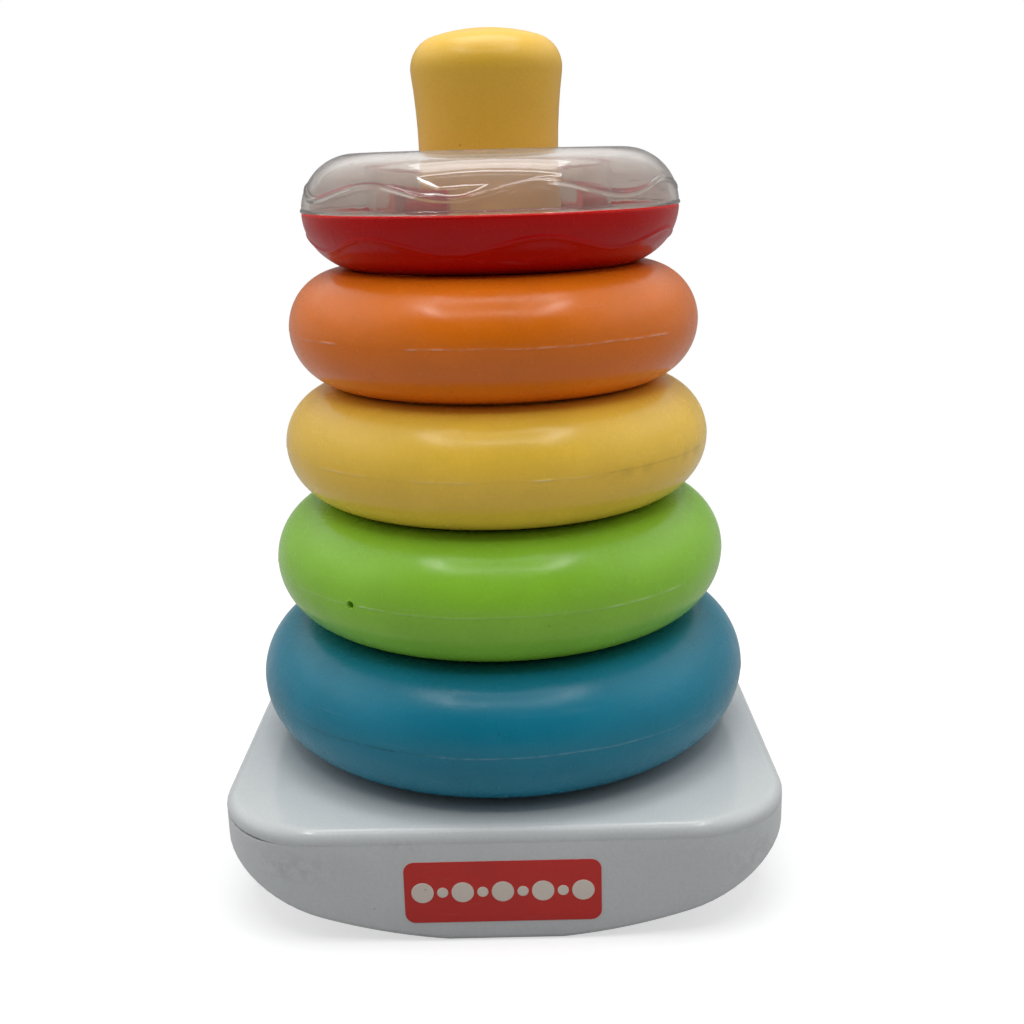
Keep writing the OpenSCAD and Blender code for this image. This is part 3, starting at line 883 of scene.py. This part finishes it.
FRAME_PX, FOCAL_PX = 1024, 1273.53
SENSOR_MM = 36.0
CAMERA_AT = (5.69, -316.09, 170.3)
CAMERA_YAW, CAMERA_PITCH, CAMERA_ROLL = -0.0076, 0.2699, -0.0265


def set_camera():
    """Camera at the photograph's place, turned by the fitted angles."""
    data = bpy.data.cameras.new("camera")
    data.sensor_width = SENSOR_MM
    data.lens = FOCAL_PX / FRAME_PX * SENSOR_MM
    data.clip_start = 0.01
    cam = bpy.data.objects.new("camera", data)
    bpy.context.scene.collection.objects.link(cam)
    cp, sp = math.cos(CAMERA_PITCH), math.sin(CAMERA_PITCH)
    cr, sr = math.cos(CAMERA_ROLL), math.sin(CAMERA_ROLL)
    forward = np.array([math.sin(CAMERA_YAW) * cp, math.cos(CAMERA_YAW) * cp, -sp])
    level = np.array([math.cos(CAMERA_YAW), -math.sin(CAMERA_YAW), 0.0])
    above = np.cross(level, forward)
    right = cr * level + sr * above
    up = cr * above - sr * level
    m = Matrix.Identity(4)
    for i in range(3):
        m[i][0], m[i][1], m[i][2], m[i][3] = right[i], up[i], -forward[i], CAMERA_AT[i] * MM
    cam.matrix_world = m
    bpy.context.scene.camera = cam


set_camera()


# Light: a pale tent, open towards the camera, with a soft lamp overhead and a frame of light strips

STRIP_Z = 0.41
STRIP_LONG, STRIP_SHORT, STRIP_WIDE = 0.30, 0.13, 0.012
TENT_TOP = 0.70
TENT_SIDE_LOW, TENT_SIDE_HIGH = 0.58, 1.35
TENT_BACK_LOW, TENT_BACK_HIGH = 0.12, 0.75
GLOSS_SHARE = 0.12


def lamp(name, x, y, z, size_x, size_y, watts, colour=(1, 1, 1)):
    """Rectangular lamp that shines straight down."""
    data = bpy.data.lights.new(name, "AREA")
    data.shape = "RECTANGLE"
    data.size = size_x
    data.size_y = size_y
    data.energy = watts
    data.color = colour
    light = bpy.data.objects.new(name, data)
    bpy.context.scene.collection.objects.link(light)
    light.location = (x, y, z)


lamp("soft_overhead", 0.0, 0.05, 0.60, 0.40, 0.20, 1.10, (0.95, 1.0, 1.03))
lamp("strip_front", 0.0, -0.224, STRIP_Z, STRIP_LONG, STRIP_WIDE, 0.17)
lamp("strip_back", 0.0, -0.075, STRIP_Z, STRIP_LONG, STRIP_WIDE, 0.10)
lamp("strip_left", -0.15, -0.15, STRIP_Z, STRIP_WIDE, STRIP_SHORT, 0.15)
lamp("strip_right", 0.15, -0.15, STRIP_Z, STRIP_WIDE, STRIP_SHORT, 0.15)


def plain_view(tree, y, reach):
    """1 for rays that see plain white: camera, clear plastic and, behind the toy, a share of the gloss."""
    path = add(tree, "ShaderNodeLightPath")
    share = remap(tree, y, 0, reach, 0, GLOSS_SHARE)
    mirrored = value_of(tree, "MULTIPLY", path.outputs["Is Glossy Ray"], share)
    seen = value_of(tree, "MAXIMUM", path.outputs["Is Camera Ray"], path.outputs["Is Transmission Ray"])
    return value_of(tree, "MAXIMUM", seen, mirrored)


def set_world():
    """The tent's walls light the toy; the camera and clear plastic see plain white."""
    world = bpy.data.worlds.new("tent")
    bpy.context.scene.world = world
    world.use_nodes = True
    tree = world.node_tree
    back = tree.nodes["Background"]
    axes = add(tree, "ShaderNodeSeparateXYZ")
    link(tree, add(tree, "ShaderNodeTexCoord").outputs["Generated"], axes.inputs[0])
    x, y, z = axes.outputs
    top = remap(tree, z, 0.65, 0.9)
    wide = value_of(tree, "MULTIPLY", x, x)
    deep = value_of(tree, "MULTIPLY", y, y)
    level = value_of(tree, "MAXIMUM", value_of(tree, "ADD", wide, deep), 0.0001)
    across = value_of(tree, "DIVIDE", wide, level)
    along = value_of(tree, "DIVIDE", deep, level)
    side = remap(tree, z, 0.2, 0.5, TENT_SIDE_LOW, TENT_SIDE_HIGH)
    rear = remap(tree, z, 0.2, 0.5, TENT_BACK_LOW, TENT_BACK_HIGH)
    behind = remap(tree, y, -0.02, 0.02)
    opening = value_of(tree, "POWER", across, remap(tree, z, 0.2, 0.5, 1.0, 3.0))
    walls = value_of(tree, "MULTIPLY", mixed_value(tree, behind, opening, across), side)
    far_wall = value_of(tree, "MULTIPLY", along, value_of(tree, "MULTIPLY", behind, rear))
    walls = value_of(tree, "ADD", walls, far_wall)
    tent = mixed_value(tree, top, walls, TENT_TOP)
    link(tree, mixed_value(tree, plain_view(tree, y, 0.3), tent, 1.0), back.inputs["Strength"])
    back.inputs["Color"].default_value = (1, 1, 1, 1)


set_world()


FLOOR_HALF = 3.0
FLOOR_BOUNCE = (0.50, 0.50, 0.50, 1)
FLOOR_SHADOWED = (0.5, 0.5, 0.5, 1)


def set_floor():
    """Pale floor that keeps the toy's shadow and fades to plain white further out."""
    mesh = bpy.data.meshes.new("floor")
    corners = [(sx * FLOOR_HALF, sy * FLOOR_HALF, 0) for sx, sy in ((-1, -1), (1, -1), (1, 1), (-1, 1))]
    mesh.from_pydata(corners, [], [(0, 1, 2, 3)])
    floor = bpy.data.objects.new("floor", mesh)
    bpy.context.scene.collection.objects.link(floor)
    mat = bpy.data.materials.new("floor")
    mat.use_nodes = True
    tree = mat.node_tree
    tree.nodes.clear()
    out = add(tree, "ShaderNodeOutputMaterial")
    coords = add(tree, "ShaderNodeTexCoord").outputs["Object"]
    length = add(tree, "ShaderNodeVectorMath", operation="LENGTH")
    link(tree, coords, length.inputs[0])
    far = remap(tree, length.outputs["Value"], 0.16, 0.42)
    plain = add(tree, "ShaderNodeBsdfDiffuse")
    plain.inputs["Color"].default_value = FLOOR_BOUNCE
    shadowed = add(tree, "ShaderNodeBsdfDiffuse")
    shadowed.inputs["Color"].default_value = FLOOR_SHADOWED
    glow = add(tree, "ShaderNodeEmission")
    glow.inputs["Strength"].default_value = 0.6
    both = add(tree, "ShaderNodeAddShader")
    link(tree, shadowed.outputs[0], both.inputs[0])
    link(tree, glow.outputs[0], both.inputs[1])
    white = add(tree, "ShaderNodeEmission")
    white.inputs["Strength"].default_value = 1.0
    fade = add(tree, "ShaderNodeMixShader")
    link(tree, far, fade.inputs[0])
    link(tree, both.outputs[0], fade.inputs[1])
    link(tree, white.outputs[0], fade.inputs[2])
    axes = add(tree, "ShaderNodeSeparateXYZ")
    link(tree, coords, axes.inputs[0])
    last = add(tree, "ShaderNodeMixShader")
    link(tree, plain_view(tree, axes.outputs[1], 0.2), last.inputs[0])
    link(tree, plain.outputs[0], last.inputs[1])
    link(tree, fade.outputs[0], last.inputs[2])
    link(tree, last.outputs[0], out.inputs["Surface"])
    mesh.materials.append(mat)


set_floor()
bpy.context.scene.view_settings.view_transform = "Standard"
